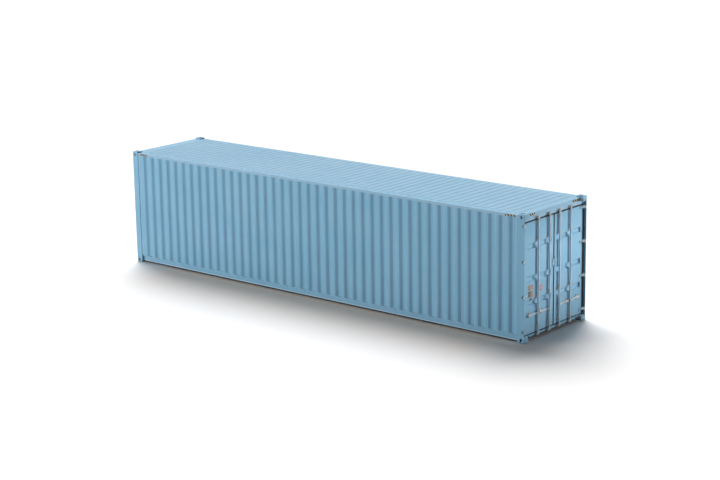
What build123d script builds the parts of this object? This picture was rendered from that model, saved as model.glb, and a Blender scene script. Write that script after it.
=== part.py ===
from build123d import *
import math
import os

# A forty-foot high-cube dry-freight container, standing on its four bottom corner castings.
# Millimetres, origin on the ground under its middle, +Z up, +X towards the doors.
# Seen from outside the doors, the left door is on the -Y side and the right door on the +Y side.

# Outside envelope, over the corner castings
length = 12192.0
width = 2438.0
height = 2896.0

# Corner castings
casting_length = 178.0
casting_width = 162.0
casting_height = 118.0
casting_slot_wall = 26.0
casting_face_wall = 14.0
casting_inner_wall = 10.0
casting_corner_radius = 14.0
slot_length = 124.5
slot_width = 63.5
slot_end_inset = 103.5
slot_side_inset = 89.5
oval_height = 79.5
side_oval_width = 63.5
end_oval_width = 51.0

# Corner posts
post_inset = 3.0
front_post_sheet = 6.0
front_post_lip = 36.0
rear_post_plate = 8.0
rear_post_leg = 12.0
rear_leg_reach = 40.0
rear_fin_setback = 8.0
rear_leg_setback = 4.0
rear_stop_reach = 49.0

# Longitudinal rails
rail_inset = 10.0
roof_drop = 30.0
top_rail_size = 60.0
top_rail_wall = 3.0
ground_clearance = 17.0
bottom_rail_height = 162.0
bottom_rail_top_flange = 48.0
bottom_rail_low_flange = 30.0
bottom_rail_sheet = 4.5

# Corrugated side walls
wall_inset = 12.0
wall_sheet = 2.0
wall_crest = 72.0
wall_slope = 68.0
wall_trough = 70.0
wall_depth = 36.0
wall_shift_share = 0.67

# Corrugated front end wall with its rail above and sill below
end_inset = 8.0
end_sheet = 2.0
end_crest = 110.0
end_slope = 18.0
end_trough = 104.0
end_depth = 45.6
front_sill_height = 143.0
front_sill_flange = 60.0
front_sill_sheet = 5.0

# Pressed roof
roof_sheet = 2.0
rib_crest = 80.0
rib_slope = 24.0
rib_trough = 81.0
rib_height = 12.0
rib_side_margin = 105.0

# Floor and its bearers
floor_thickness = 28.0
floor_clearance = 2.0
bearer_lift = 3.0
bearer_height = 122.0
bearer_flange = 45.0
bearer_sheet = 4.0
bearer_pitch = 310.0
tunnel_length = 3315.0
tunnel_width = 1029.0
tunnel_sheet = 6.0

# Door opening, header and sill
header_height = 156.0
sill_top = 125.0
sill_nose = 50.0
sill_sheet = 5.0
sill_width = 150.0
sill_rise = 20.0
sill_web_setback = 75.0
sill_notch_length = 150.0
sill_notch_height = 28.0
header_width = 90.0
header_wall = 4.0

# Lock rods with their cams and keepers
rod_radius = 17.0
rod_wall = 4.0
rod_depth = 36.0
rod_gap = 9.0
inner_rod_share = 0.1563
outer_rod_share = 0.5472
cam_hub_radius = 20.0
cam_height = 24.0
cam_reach = 42.0
cam_width = 24.0
keeper_plate = 6.0
keeper_width = 92.0
keeper_fin = 8.0
keeper_reach = 36.0
keeper_clearance = 6.0

# Door leaves
leaf_thickness = 50.0
leaf_stile = 80.0
leaf_rail = 130.0
leaf_wall = 4.0
leaf_sheet = 3.0
centre_gap = 44.0
side_gap = 44.0
end_gap = 36.0
swage_height = 140.0
swage_slope = 32.0
swage_depth = 28.0
swage_height_shares = (0.274, 0.493, 0.7835)

# Door gaskets
gasket_thickness = 30.0
gasket_setback = 4.0
gasket_clearance = 7.0
gasket_centre_clearance = 8.0

# Hinges
hinge_pin_radius = 10.0
hinge_play = 0.2
barrel_wall = 8.0
barrel_height = 52.0
barrel_cover = 1.0
lug_height = 16.0
lug_gap = 5.0
hinge_lowest_rise = 100.0
hinge_highest_drop = 43.0
hinge_count = 4
strap_thickness = 12.0
strap_length = 110.0
arm_thickness = 18.0

# Guides that carry the lock rods on each leaf
guide_play = 0.3
guide_wall = 4.7
guide_height = 44.0
guide_width = 96.0
guide_plate = 5.0
guide_height_shares = (0.044, 0.322, 0.829, 0.976)

# Handles with their hubs on the rods and their rests on the leaves
handle_height_share = 0.169
handle_length_share = 0.874
handle_thickness = 14.0
handle_tall = 34.0
handle_pin_reach = 50.0
handle_pin_radius = 7.0
handle_play = 0.3
handle_eye_radius = 18.0
hub_radius = 25.0
hub_height = 62.0
cheek_thickness = 6.0
cheek_gap = 2.0
rest_reach_share = 0.69
rest_width = 76.0
rest_tall = 118.0
rest_plate = 5.0
rest_shelf = 8.0
rest_clearance = 5.0
rest_cover = 4.0

# Seal plates either side of the gap between the leaves
seal_plate_thickness = 10.0
seal_plate_height = 200.0
seal_plate_right_reach = 116.0
seal_plate_left_reach = 58.0
seal_plate_overhang = 14.0
seal_plate_corner = 45.0
seal_free_clip_share = 0.4
seal_back_clip_share = 0.2
seal_slot_length = 90.0
seal_slot_width = 34.0
seal_height_share = 0.5706

overrun = 5.0

# Planes and places that several pieces share
half_length = length / 2
half_width = width / 2
rail_face = half_width - rail_inset
rail_top = height - roof_drop
rail_bottom = rail_top - top_rail_size
sill_rail_top = ground_clearance + bottom_rail_height
wall_end = half_length - casting_length
casting_inside = half_width - casting_width
bearer_low = ground_clearance + bearer_lift
floor_low = bearer_low + bearer_height
floor_top = floor_low + floor_thickness
rail_web = rail_face - bottom_rail_top_flange
leaf_face = rod_depth + rod_radius + rod_gap
frame_face = rod_depth + cam_hub_radius + keeper_clearance + keeper_plate
rear_leg_depth = leaf_face + rear_leg_setback
header_bottom = rail_top - header_height
leaf_low = sill_top + end_gap
leaf_high = header_bottom - end_gap
leaf_height = leaf_high - leaf_low
leaf_free_edge = centre_gap / 2
leaf_hinge_edge = half_width - rear_leg_reach - side_gap
barrel_radius = hinge_pin_radius + hinge_play + barrel_wall
pin_inset = barrel_radius + barrel_cover
pin_x = half_length - pin_inset
pin_y = half_width - pin_inset
hinge_pitch = (leaf_height - hinge_lowest_rise - hinge_highest_drop) / (hinge_count - 1)
hinge_heights = [leaf_low + hinge_lowest_rise + hinge_pitch * index for index in range(hinge_count)]
guide_heights = [leaf_low + leaf_height * share for share in guide_height_shares]
handle_height = leaf_low + leaf_height * handle_height_share
seal_height = leaf_low + leaf_height * seal_height_share
leaf_width = leaf_hinge_edge - leaf_free_edge
rod_places = {
    "inner": leaf_free_edge + leaf_width * inner_rod_share,
    "outer": leaf_free_edge + leaf_width * outer_rod_share,
}
rod_spacing = rod_places["outer"] - rod_places["inner"]
handle_length = rod_spacing * handle_length_share
rest_reach = rod_spacing * rest_reach_share
keeper_tall = cam_height + 2 * keeper_clearance + 2 * keeper_fin
header_cam_height = header_bottom + keeper_clearance + keeper_tall / 2
sill_cam_height = sill_top - keeper_tall / 2


def block(xs, ys, zs):
    """Box between two values along each axis."""
    spans = (xs, ys, zs)
    centre = [(low + high) / 2 for low, high in spans]
    return Pos(*centre) * Box(*[abs(high - low) for low, high in spans])


def along_x(points, low, high):
    """Prism of a (y, z) outline between two x values."""
    outline = make_face(Polyline(*[(low, y, z) for y, z in points], close=True))
    return extrude(outline, high - low, dir=(1, 0, 0))


def along_y(points, low, high):
    """Prism of an (x, z) outline between two y values."""
    outline = make_face(Polyline(*[(x, low, z) for x, z in points], close=True))
    return extrude(outline, high - low, dir=(0, 1, 0))


def along_z(points, low, high):
    """Prism of an (x, y) outline between two heights."""
    outline = make_face(Polyline(*[(x, y, low) for x, y in points], close=True))
    return extrude(outline, high - low, dir=(0, 0, 1))


def door_plan(points):
    """Turns (depth behind the door end, inset from the +Y side) into (x, y)."""
    return [(half_length - depth, half_width - inset) for depth, inset in points]


def post_at(x, y, low, high, radius):
    """Upright round bar."""
    return Pos(x, y, (low + high) / 2) * Cylinder(radius, high - low)


def octagon(across, up, radius):
    """Corners of an eight-sided outline whose flats lie one radius from its middle."""
    half_flat = radius * math.tan(math.pi / 8)
    corners = [(radius, half_flat), (half_flat, radius), (-half_flat, radius), (-radius, half_flat)]
    corners += [(-a, -b) for a, b in corners]
    return [(across + a, up + b) for a, b in corners]


def to_left(shapes):
    """The same pieces on the -Y side."""
    return [mirror(shape, about=Plane.XZ) for shape in shapes]


def both_sides(shapes):
    return shapes + to_left(shapes)


def corrugation(run, crest, slope, trough, depth, shift_share):
    """Sheet line of a run centred on zero: (place, set-back), its folds moved by a share of the plain margin."""
    pitch = crest + 2 * slope + trough
    count = int((run - crest) // pitch)
    margin = (run - count * pitch + crest) / 2
    line = [(-run / 2, 0)]
    place = margin * (1 + shift_share) - run / 2
    for _ in range(count):
        line += [(place, 0), (place + slope, depth)]
        line += [(place + slope + trough, depth), (place + 2 * slope + trough, 0)]
        place += pitch
    return line + [(run / 2, 0)]


def sheet_outline(line, sheet):
    """Closed outline of a folded sheet: its outer line and the same line one thickness behind."""
    return line + [(place, back + sheet) for place, back in reversed(line)]


def bottom_casting():
    """Hollow casting at the door end, +Y side: slot below, an oval opening in each outer face."""
    xs = (half_length - casting_length, half_length)
    ys = (half_width - casting_width, half_width)
    shell = block(xs, ys, (0, casting_height))
    corner = shell.edges().filter_by(Axis.Z).sort_by(lambda edge: edge.center().X + edge.center().Y)[-1]
    shell = fillet(corner, casting_corner_radius)
    cavity_height = casting_height - casting_slot_wall - casting_inner_wall
    middle = casting_slot_wall + cavity_height / 2
    cavity = block(
        (xs[0] + casting_inner_wall, xs[1] - casting_face_wall),
        (ys[0] + casting_inner_wall, ys[1] - casting_face_wall),
        (casting_slot_wall, casting_slot_wall + cavity_height),
    )
    slot = Pos(half_length - slot_end_inset, half_width - slot_side_inset, -overrun) * extrude(
        SlotOverall(slot_length, slot_width), casting_slot_wall + 2 * overrun
    )
    through = casting_face_wall + overrun
    side_oval = Location((half_length - casting_length / 2, half_width + overrun, middle), (90, 0, 0)) * extrude(
        SlotOverall(oval_height, side_oval_width, rotation=90), through + overrun
    )
    end_oval = Location((half_length + overrun, half_width - casting_width / 2, middle), (90, 0, -90)) * extrude(
        SlotOverall(oval_height, end_oval_width, rotation=90), through + overrun
    )
    return shell - cavity - slot - side_oval - end_oval


def four_corners(casting):
    pair = both_sides([casting])
    return pair + [mirror(shape, about=Plane.YZ) for shape in pair]


def bottom_corner_castings():
    return four_corners(bottom_casting())


def top_corner_castings():
    middle_plane = Plane.XY.offset(height / 2)
    return four_corners(mirror(bottom_casting(), about=middle_plane))


def front_corner_posts():
    """Pressed corner sections with a lip along each leg."""
    side_end = casting_length
    face_end = casting_width
    inner = post_inset + front_post_sheet
    points = [
        (post_inset, post_inset),
        (side_end, post_inset),
        (side_end, post_inset + front_post_lip),
        (side_end - front_post_sheet, post_inset + front_post_lip),
        (side_end - front_post_sheet, inner),
        (inner, inner),
        (inner, face_end - front_post_sheet),
        (post_inset + front_post_lip, face_end - front_post_sheet),
        (post_inset + front_post_lip, face_end),
        (post_inset, face_end),
    ]
    outline = [(depth - half_length, half_width - inset) for depth, inset in points]
    return both_sides([along_z(outline, casting_height, height - casting_height)])


def hinge_lug(low):
    """Plate from the post's rear leg out round the hinge pin."""
    near = pin_inset - barrel_radius
    far = pin_inset + barrel_radius
    plan = [(pin_inset, near), (rear_leg_depth, near), (rear_leg_depth, far), (pin_inset, far)]
    plate = along_z(door_plan(plan), low, low + lug_height)
    return plate + along_z(octagon(pin_x, pin_y, barrel_radius), low, low + lug_height)


def rear_corner_posts():
    """Door posts: an outer plate with a rear leg and an inner door stop, notched and lugged at each hinge."""
    outer = post_inset
    inner = post_inset + rear_post_plate
    points = [
        (rear_fin_setback, outer),
        (casting_length, outer),
        (casting_length, rear_stop_reach),
        (casting_length - rear_post_leg, rear_stop_reach),
        (casting_length - rear_post_leg, inner),
        (rear_leg_depth + rear_post_leg, inner),
        (rear_leg_depth + rear_post_leg, rear_leg_reach),
        (rear_leg_depth, rear_leg_reach),
        (rear_leg_depth, inner),
        (rear_fin_setback, inner),
    ]
    post = along_z(door_plan(points), casting_height, height - casting_height)
    notch_half = barrel_height / 2 + lug_gap
    notch_x = (half_length - rear_leg_depth, half_length)
    notch_y = (half_width - inner, half_width)
    notches = [block(notch_x, notch_y, (z - notch_half, z + notch_half)) for z in hinge_heights]
    lugs = [hinge_lug(z + notch_half) for z in hinge_heights]
    lugs += [hinge_lug(z - notch_half - lug_height) for z in hinge_heights]
    reach = notch_half + lug_height + overrun
    bore_radius = hinge_pin_radius + hinge_play
    bores = [post_at(pin_x, pin_y, z - reach, z + reach, bore_radius) for z in hinge_heights]
    return both_sides([post - notches + lugs - bores])


def hinge_pins():
    reach = barrel_height / 2 + lug_gap + lug_height
    return both_sides([post_at(pin_x, pin_y, z - reach, z + reach, hinge_pin_radius) for z in hinge_heights])


def top_side_rails():
    ys = (rail_face - top_rail_size, rail_face)
    tube = block((-wall_end, wall_end), ys, (rail_bottom, rail_top))
    bore = block(
        (-wall_end - overrun, wall_end + overrun),
        (ys[0] + top_rail_wall, ys[1] - top_rail_wall),
        (rail_bottom + top_rail_wall, rail_top - top_rail_wall),
    )
    return both_sides([tube - bore])


def bottom_side_rails():
    """Channels that open outwards, with a wide flange under the wall and a narrow one below."""
    web_out = rail_web + bottom_rail_sheet
    low = ground_clearance
    high = sill_rail_top
    points = [
        (rail_web, low),
        (rail_web + bottom_rail_low_flange, low),
        (rail_web + bottom_rail_low_flange, low + bottom_rail_sheet),
        (web_out, low + bottom_rail_sheet),
        (web_out, high - bottom_rail_sheet),
        (rail_face, high - bottom_rail_sheet),
        (rail_face, high),
        (rail_web, high),
    ]
    return both_sides([along_x(points, -wall_end, wall_end)])


def right_side_wall():
    """Trapezoid sheet with upright folds from the bottom rail to the top rail."""
    line = corrugation(2 * wall_end, wall_crest, wall_slope, wall_trough, wall_depth, wall_shift_share)
    face = half_width - wall_inset
    outline = [(place, face - back) for place, back in sheet_outline(line, wall_sheet)]
    return [along_z(outline, sill_rail_top, rail_bottom)]


def front_wall():
    line = corrugation(2 * casting_inside, end_crest, end_slope, end_trough, end_depth, 0)
    face = end_inset - half_length
    outline = [(face + back, place) for place, back in sheet_outline(line, end_sheet)]
    return [along_z(outline, ground_clearance + front_sill_height, rail_bottom)]


def front_top_rail():
    xs = (post_inset - half_length, post_inset + top_rail_size - half_length)
    tube = block(xs, (-casting_inside, casting_inside), (rail_bottom, rail_top))
    bore = block(
        (xs[0] + top_rail_wall, xs[1] - top_rail_wall),
        (-casting_inside - overrun, casting_inside + overrun),
        (rail_bottom + top_rail_wall, rail_top - top_rail_wall),
    )
    return [tube - bore]


def front_sill():
    """Channel across the front, cut away over the tunnel for a gooseneck trailer."""
    front = post_inset - half_length
    low = ground_clearance
    high = ground_clearance + front_sill_height
    points = [
        (front, low),
        (front + front_sill_flange, low),
        (front + front_sill_flange, low + front_sill_sheet),
        (front + front_sill_sheet, low + front_sill_sheet),
        (front + front_sill_sheet, high - front_sill_sheet),
        (front + front_sill_flange, high - front_sill_sheet),
        (front + front_sill_flange, high),
        (front, high),
    ]
    sill = along_y(points, -casting_inside, casting_inside)
    mouth = block(
        (front - overrun, front + front_sill_flange + overrun),
        (-tunnel_width / 2, tunnel_width / 2),
        (low - overrun, floor_low - tunnel_sheet),
    )
    return [sill - mouth]


def roof_rib(x, bottom):
    """Long pressed rib with sloping sides and ends, standing on a base line."""
    base = rib_crest + 2 * rib_slope
    reach = 2 * (rail_face - rib_side_margin)
    rise = Wedge(
        base, rib_height, reach,
        rib_slope, rib_slope, base - rib_slope, reach - rib_slope,
        rotation=(90, 0, 0),
    )
    return Pos(x, 0, bottom + rib_height / 2) * rise


def roof_panel():
    """Sheet over the rails and between the castings, pressed up into ribs across its width."""
    front = post_inset - half_length
    rear = half_length - frame_face
    base = rail_top
    sheet = block((-wall_end, wall_end), (-rail_face, rail_face), (base, base + roof_sheet))
    sheet += block((front, rear), (-casting_inside, casting_inside), (base, base + roof_sheet))
    pitch = rib_crest + 2 * rib_slope + rib_trough
    count = int((2 * wall_end - rib_trough) // pitch)
    places = [(index - (count - 1) / 2) * pitch for index in range(count)]
    raised = sheet + [roof_rib(x, base + roof_sheet) for x in places]
    return [raised - [roof_rib(x, base) for x in places]]


def bearer(x, low_y, high_y):
    """Pressed channel across the underframe, open towards the doors."""
    points = [
        (x, bearer_low),
        (x + bearer_flange, bearer_low),
        (x + bearer_flange, bearer_low + bearer_sheet),
        (x + bearer_sheet, bearer_low + bearer_sheet),
        (x + bearer_sheet, floor_low - bearer_sheet),
        (x + bearer_flange, floor_low - bearer_sheet),
        (x + bearer_flange, floor_low),
        (x, floor_low),
    ]
    return along_y(points, low_y, high_y)


tunnel_front = post_inset + front_sill_flange - half_length
tunnel_rear = tunnel_front + tunnel_length
tunnel_side = tunnel_width / 2 + tunnel_sheet
floor_front = tunnel_front
floor_rear = half_length - frame_face - sill_width


def cross_members():
    """Full bearers behind the tunnel, and short ones from its sides to the rails beside it."""
    run = floor_rear - tunnel_rear - bearer_flange
    count = int(run // bearer_pitch)
    full = [floor_rear - bearer_flange - bearer_pitch * index for index in range(count + 1)]
    members = [bearer(x, -rail_web, rail_web) for x in full]
    count = int((tunnel_length - bearer_flange) // bearer_pitch)
    short = [tunnel_rear - bearer_flange - bearer_pitch * index for index in range(count + 1)]
    return members + both_sides([bearer(x, tunnel_side, rail_web) for x in short])


def gooseneck_tunnel():
    """Plate under the floor with a downstand along each side, open at the front and below."""
    crown = block((tunnel_front, tunnel_rear), (-tunnel_side, tunnel_side), (floor_low - tunnel_sheet, floor_low))
    xs = (tunnel_front, tunnel_rear)
    cheeks = both_sides([block(xs, (tunnel_width / 2, tunnel_side), (bearer_low, floor_low))])
    stop = block((tunnel_rear - tunnel_sheet, tunnel_rear), (-tunnel_side, tunnel_side), (bearer_low, floor_low))
    return [crown + cheeks + [stop]]


def plywood_floor():
    reach = rail_web - floor_clearance
    return [block((floor_front, floor_rear), (-reach, reach), (floor_low, floor_top))]


def door_header():
    """Box beam over the doors, stepped at its ends to pass under the top castings."""
    face = half_length - frame_face
    reach = half_width - rear_stop_reach
    ys = (-reach, reach)
    beam = block((face - header_width, face), ys, (header_bottom, rail_top))
    bore = block(
        (face - header_width + header_wall, face - header_wall),
        (-reach - overrun, reach + overrun),
        (header_bottom + header_wall, rail_top - header_wall),
    )
    casting_room = [
        block((wall_end - overrun, half_length), side, (height - casting_height, height))
        for side in ((casting_inside, reach + overrun), (-reach - overrun, -casting_inside))
    ]
    return [beam - bore - casting_room]


def door_sill():
    """Pressed sill: a nose under the doors, a top that drains outwards, and a web set back below."""
    face = half_length - frame_face
    back = face - sill_width
    web = face - sill_web_setback
    reach = half_width - rear_stop_reach
    slope = sill_rise / sill_width
    web_top = sill_top + slope * sill_web_setback
    points = [
        (face, sill_top - sill_nose),
        (face, sill_top),
        (back, sill_top + sill_rise),
        (back, sill_top + sill_rise - sill_sheet),
        (web, web_top - sill_sheet),
        (web, bearer_low),
        (web + sill_sheet, bearer_low),
        (web + sill_sheet, web_top - slope * sill_sheet - sill_sheet),
        (face - sill_sheet, sill_top + slope * sill_sheet - sill_sheet),
        (face - sill_sheet, sill_top - sill_nose),
    ]
    sill = along_y(points, -reach, reach)
    ends = ((casting_inside, reach + overrun), (-reach - overrun, -casting_inside))
    room = [block((wall_end, half_length), side, (0, casting_height)) for side in ends]
    room += both_sides([block((back - overrun, wall_end), (rail_web, reach + overrun), (0, sill_rail_top))])
    notch_zs = (sill_top - sill_nose - overrun, sill_top - sill_notch_height)
    notch_xs = (face - sill_sheet - overrun, face + overrun)
    notch_start = casting_inside - sill_notch_length
    notches = both_sides([block(notch_xs, (notch_start, casting_inside), notch_zs)])
    return [sill - room - notches]


def cam_keeper(place, middle, rod_side):
    """Plate with two fins that the cam turns between; the fin on the rod's side is forked for the rod."""
    face = half_length - frame_face + keeper_plate
    half = keeper_tall / 2
    ys = (place - keeper_width / 2, place + keeper_width / 2)
    plate = block((face - keeper_plate, face), ys, (middle - half, middle + half))
    fins = [
        block((face, face + keeper_reach), ys, (middle + side * half, middle + side * (half - keeper_fin)))
        for side in (1, -1)
    ]
    fork_zs = (middle + rod_side * (half + overrun), middle + rod_side * (half - keeper_fin - overrun))
    room = rod_radius + keeper_clearance
    fork = block((face, half_length), (place - room, place + room), fork_zs)
    return plate + fins - fork


def cam_keepers():
    ends = ((header_cam_height, -1), (sill_cam_height, 1))
    return both_sides([cam_keeper(place, *end) for place in rod_places.values() for end in ends])


leaf_x = (half_length - leaf_face - leaf_thickness, half_length - leaf_face)


def right_door_frame():
    """Two upright tubes joined by a deep rail at the top and the bottom."""
    zs = (leaf_low, leaf_high)
    ys = (leaf_free_edge, leaf_hinge_edge)
    window = (leaf_low + leaf_rail, leaf_high - leaf_rail)
    frame = block(leaf_x, ys, zs)
    frame -= block(
        (leaf_x[0] - overrun, leaf_x[1] + overrun), (ys[0] + leaf_stile, ys[1] - leaf_stile), window
    )
    inside_x = (leaf_x[0] + leaf_wall, leaf_x[1] - leaf_wall)
    for low in (ys[0], ys[1] - leaf_stile):
        bore_y = (low + leaf_wall, low + leaf_stile - leaf_wall)
        frame -= block(inside_x, bore_y, (leaf_low - overrun, leaf_high + overrun))
    rail_y = (ys[0] + leaf_stile, ys[1] - leaf_stile)
    for low in (leaf_low, leaf_high - leaf_rail):
        trough_z = (low + leaf_wall, low + leaf_rail - leaf_wall)
        frame -= block((leaf_x[0] - overrun, leaf_x[1] - leaf_wall), rail_y, trough_z)
    return [frame]


def right_door_panel():
    """Sheet between the frame's members, with swages pressed inwards across it."""
    face = leaf_x[1]
    line = [(leaf_low + leaf_rail, 0)]
    for share in swage_height_shares:
        middle = leaf_low + leaf_height * share
        half = swage_height / 2
        line += [(middle - half, 0), (middle - half + swage_slope, swage_depth)]
        line += [(middle + half - swage_slope, swage_depth), (middle + half, 0)]
    line.append((leaf_high - leaf_rail, 0))
    outline = [(face - back, z) for z, back in sheet_outline(line, leaf_sheet)]
    return [along_y(outline, leaf_free_edge + leaf_stile, leaf_hinge_edge - leaf_stile)]


def right_door_gasket():
    """Seal all round the leaf's edge, which stops just short of the posts, header, sill and other leaf."""
    front = half_length - leaf_face - gasket_setback
    xs = (front - gasket_thickness, front)
    outer = block(
        xs,
        (gasket_centre_clearance, half_width - rear_leg_reach - gasket_clearance),
        (sill_top + gasket_clearance, header_bottom - gasket_clearance),
    )
    hole = block(
        (xs[0] - overrun, xs[1] + overrun), (leaf_free_edge, leaf_hinge_edge), (leaf_low, leaf_high)
    )
    return [outer - hole]


def right_door_hinges():
    """Forged hinge: a barrel on the pin, an arm round the post's leg and a strap on the leaf."""
    strap_front = leaf_face - strap_thickness
    strap_start = half_width - leaf_hinge_edge - arm_thickness
    bend = (strap_front + strap_thickness / 2, strap_start + arm_thickness / 2)
    turn = math.atan2(bend[1] - pin_inset, bend[0] - pin_inset)
    across = (-math.sin(turn) * arm_thickness / 2, math.cos(turn) * arm_thickness / 2)
    arm = [
        (pin_inset + across[0], pin_inset + across[1]),
        (pin_inset - across[0], pin_inset - across[1]),
        (bend[0] - across[0], bend[1] - across[1]),
        (bend[0] + across[0], bend[1] + across[1]),
    ]
    strap_end = half_width - leaf_hinge_edge + strap_length
    strap = [
        (strap_front, strap_start),
        (strap_front, strap_end - strap_thickness),
        (leaf_face - strap_thickness / 2, strap_end),
        (leaf_face, strap_end),
        (leaf_face, strap_start),
    ]
    hinges = []
    for z in hinge_heights:
        low = z - barrel_height / 2
        high = z + barrel_height / 2
        hinge = along_z(door_plan(strap), low, high) + along_z(door_plan(arm), low, high)
        hinge += post_at(pin_x, pin_y, low, high, barrel_radius)
        hinge -= block((half_length - leaf_face - overrun - arm_thickness, half_length - leaf_face),
                       (leaf_free_edge, half_width), (low, high))
        hinges.append(hinge - post_at(pin_x, pin_y, low - overrun, high + overrun, hinge_pin_radius + hinge_play))
    return hinges


def guide_bend(place, zs, radius):
    """Bar that stands on the leaf and ends in an eight-sided nose round the rod."""
    rod_x = half_length - rod_depth
    leg = block((half_length - leaf_face, rod_x), (place - radius, place + radius), zs)
    return leg + along_z(octagon(rod_x, place, radius), *zs)


def rod_guide(place, middle):
    """Plate on the leaf with a strap bent over the rod."""
    zs = (middle - guide_height / 2, middle + guide_height / 2)
    plate_xs = (half_length - leaf_face, half_length - leaf_face + guide_plate)
    plate = block(plate_xs, (place - guide_width / 2, place + guide_width / 2), zs)
    inside = rod_radius + guide_play
    room = guide_bend(place, (zs[0] - overrun, zs[1] + overrun), inside)
    return guide_bend(place, zs, inside + guide_wall) - room + plate


def right_rod_guides():
    return [rod_guide(place, z) for place in rod_places.values() for z in guide_heights]


def right_handle_rests():
    """Plate on the leaf with a shelf under each handle."""
    rests = []
    face = half_length - leaf_face
    shelf_front = half_length - rod_depth + handle_thickness / 2 + rest_cover
    shelf_top = handle_height - handle_tall / 2 - rest_clearance
    for place in rod_places.values():
        ys = (place + rest_reach - rest_width / 2, place + rest_reach + rest_width / 2)
        plate_zs = (handle_height - rest_tall / 2, handle_height + rest_tall / 2)
        rest = block((face, face + rest_plate), ys, plate_zs)
        shelf_ys = (ys[0] + rest_width / 4, ys[1] - rest_width / 4)
        rests.append(rest + block((face, shelf_front), shelf_ys, (shelf_top - rest_shelf, shelf_top)))
    return rests


def seal_plate(reach):
    """Plate on the leaf's free edge with clipped outer corners and an upright slot."""
    low = seal_height - seal_plate_height / 2
    high = seal_height + seal_plate_height / 2
    edge = leaf_free_edge - seal_plate_overhang
    free_clip = (reach - edge) * seal_free_clip_share
    back_clip = (reach - edge) * seal_back_clip_share
    outline = [
        (edge, low + seal_plate_corner),
        (edge, high - seal_plate_corner),
        (edge + free_clip, high),
        (reach - back_clip, high),
        (reach, high - seal_plate_corner),
        (reach, low + seal_plate_corner),
        (reach - back_clip, low),
        (edge + free_clip, low),
    ]
    front = half_length - leaf_face
    return along_x(outline, front, front + seal_plate_thickness)


def right_seal_plate():
    middle = (leaf_free_edge - seal_plate_overhang + seal_plate_right_reach) / 2
    front = half_length - leaf_face
    slot = Location((front + seal_plate_thickness + overrun, middle, seal_height), (90, 0, -90)) * extrude(
        SlotOverall(seal_slot_length, seal_slot_width, rotation=90), seal_plate_thickness + 2 * overrun
    )
    return [seal_plate(seal_plate_right_reach) - slot]


def left_seal_plate():
    return to_left([seal_plate(seal_plate_left_reach)])


def cam(place, middle):
    """Hub on the rod with a tongue that points towards the door's hinges when locked."""
    rod_x = half_length - rod_depth
    zs = (middle - cam_height / 2, middle + cam_height / 2)
    tongue = block(
        (rod_x - cam_width / 2, rod_x + cam_width / 2), (place, place + cam_reach - cam_width / 2), zs
    )
    nose = along_z(octagon(rod_x, place + cam_reach - cam_width / 2, cam_width / 2), *zs)
    return post_at(rod_x, place, *zs, cam_hub_radius) + tongue + nose


def right_rod_cams(place):
    return [cam(place, sill_cam_height), cam(place, header_cam_height)]


def right_lock_rod(place):
    """Tube from cam to cam, with a hub that has two cheeks and a pin for the handle."""
    rod_x = half_length - rod_depth
    low = sill_cam_height + cam_height / 2
    high = header_cam_height - cam_height / 2
    rod = post_at(rod_x, place, low, high, rod_radius)
    hub_zs = (handle_height - hub_height / 2, handle_height + hub_height / 2)
    rod += post_at(rod_x, place, *hub_zs, hub_radius)
    near = handle_thickness / 2 + cheek_gap
    pivot_y = place + handle_pin_reach
    for side in (1, -1):
        cheek_x = (rod_x + side * near, rod_x + side * (near + cheek_thickness))
        cheek_z = (handle_height - handle_eye_radius, handle_height + handle_eye_radius)
        rod += block(cheek_x, (place, pivot_y), cheek_z)
        rod += along_x(octagon(pivot_y, handle_height, handle_eye_radius), min(cheek_x), max(cheek_x))
    pin_length = 2 * (near + cheek_thickness)
    rod += Location((rod_x, pivot_y, handle_height), (0, 90, 0)) * Cylinder(handle_pin_radius, pin_length)
    return [rod - post_at(rod_x, place, low - overrun, high + overrun, rod_radius - rod_wall)]


def right_handle(place):
    """Flat forged lever on its pin: an eye, a shank that widens and a tip with clipped corners."""
    rod_x = half_length - rod_depth
    pivot_y = place + handle_pin_reach
    tip_y = place + handle_length - handle_tall / 2
    neck = handle_tall / 2 - rest_plate
    shank = [
        (pivot_y, handle_height - neck),
        (tip_y, handle_height - handle_tall / 2),
        (tip_y, handle_height + handle_tall / 2),
        (pivot_y, handle_height + neck),
    ]
    back = rod_x - handle_thickness / 2
    lever = along_x(shank, back, back + handle_thickness)
    for end_y, radius in ((pivot_y, handle_eye_radius), (tip_y, handle_tall / 2)):
        lever += along_x(octagon(end_y, handle_height, radius), back, back + handle_thickness)
    bore = Cylinder(handle_pin_radius + handle_play, handle_thickness + 2 * overrun)
    return [lever - Location((rod_x, pivot_y, handle_height), (0, 90, 0)) * bore]


def write(name, shapes):
    solids = [solid for shape in shapes for solid in shape.solids()]
    export_step(Compound(children=solids), f"parts/{name}.step")


os.makedirs("parts", exist_ok=True)

for piece in (
    bottom_corner_castings, top_corner_castings, front_corner_posts, rear_corner_posts, hinge_pins,
    top_side_rails, bottom_side_rails, right_side_wall, front_wall, front_top_rail, front_sill,
    roof_panel, cross_members, gooseneck_tunnel, plywood_floor, door_header, door_sill,
    cam_keepers, right_seal_plate, left_seal_plate,
):
    write(piece.__name__, piece())
write("left_side_wall", to_left(right_side_wall()))

for piece in (
    right_door_frame, right_door_panel, right_door_gasket, right_door_hinges,
    right_rod_guides, right_handle_rests,
):
    write(piece.__name__, piece())
    write(piece.__name__.replace("right", "left"), to_left(piece()))

for row, place in rod_places.items():
    write(f"right_{row}_lock_rod", right_lock_rod(place))
    write(f"left_{row}_lock_rod", to_left(right_lock_rod(place)))
    write(f"right_{row}_rod_cams", right_rod_cams(place))
    write(f"left_{row}_rod_cams", to_left(right_rod_cams(place)))
    write(f"right_{row}_handle", right_handle(place))
    write(f"left_{row}_handle", to_left(right_handle(place)))
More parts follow.
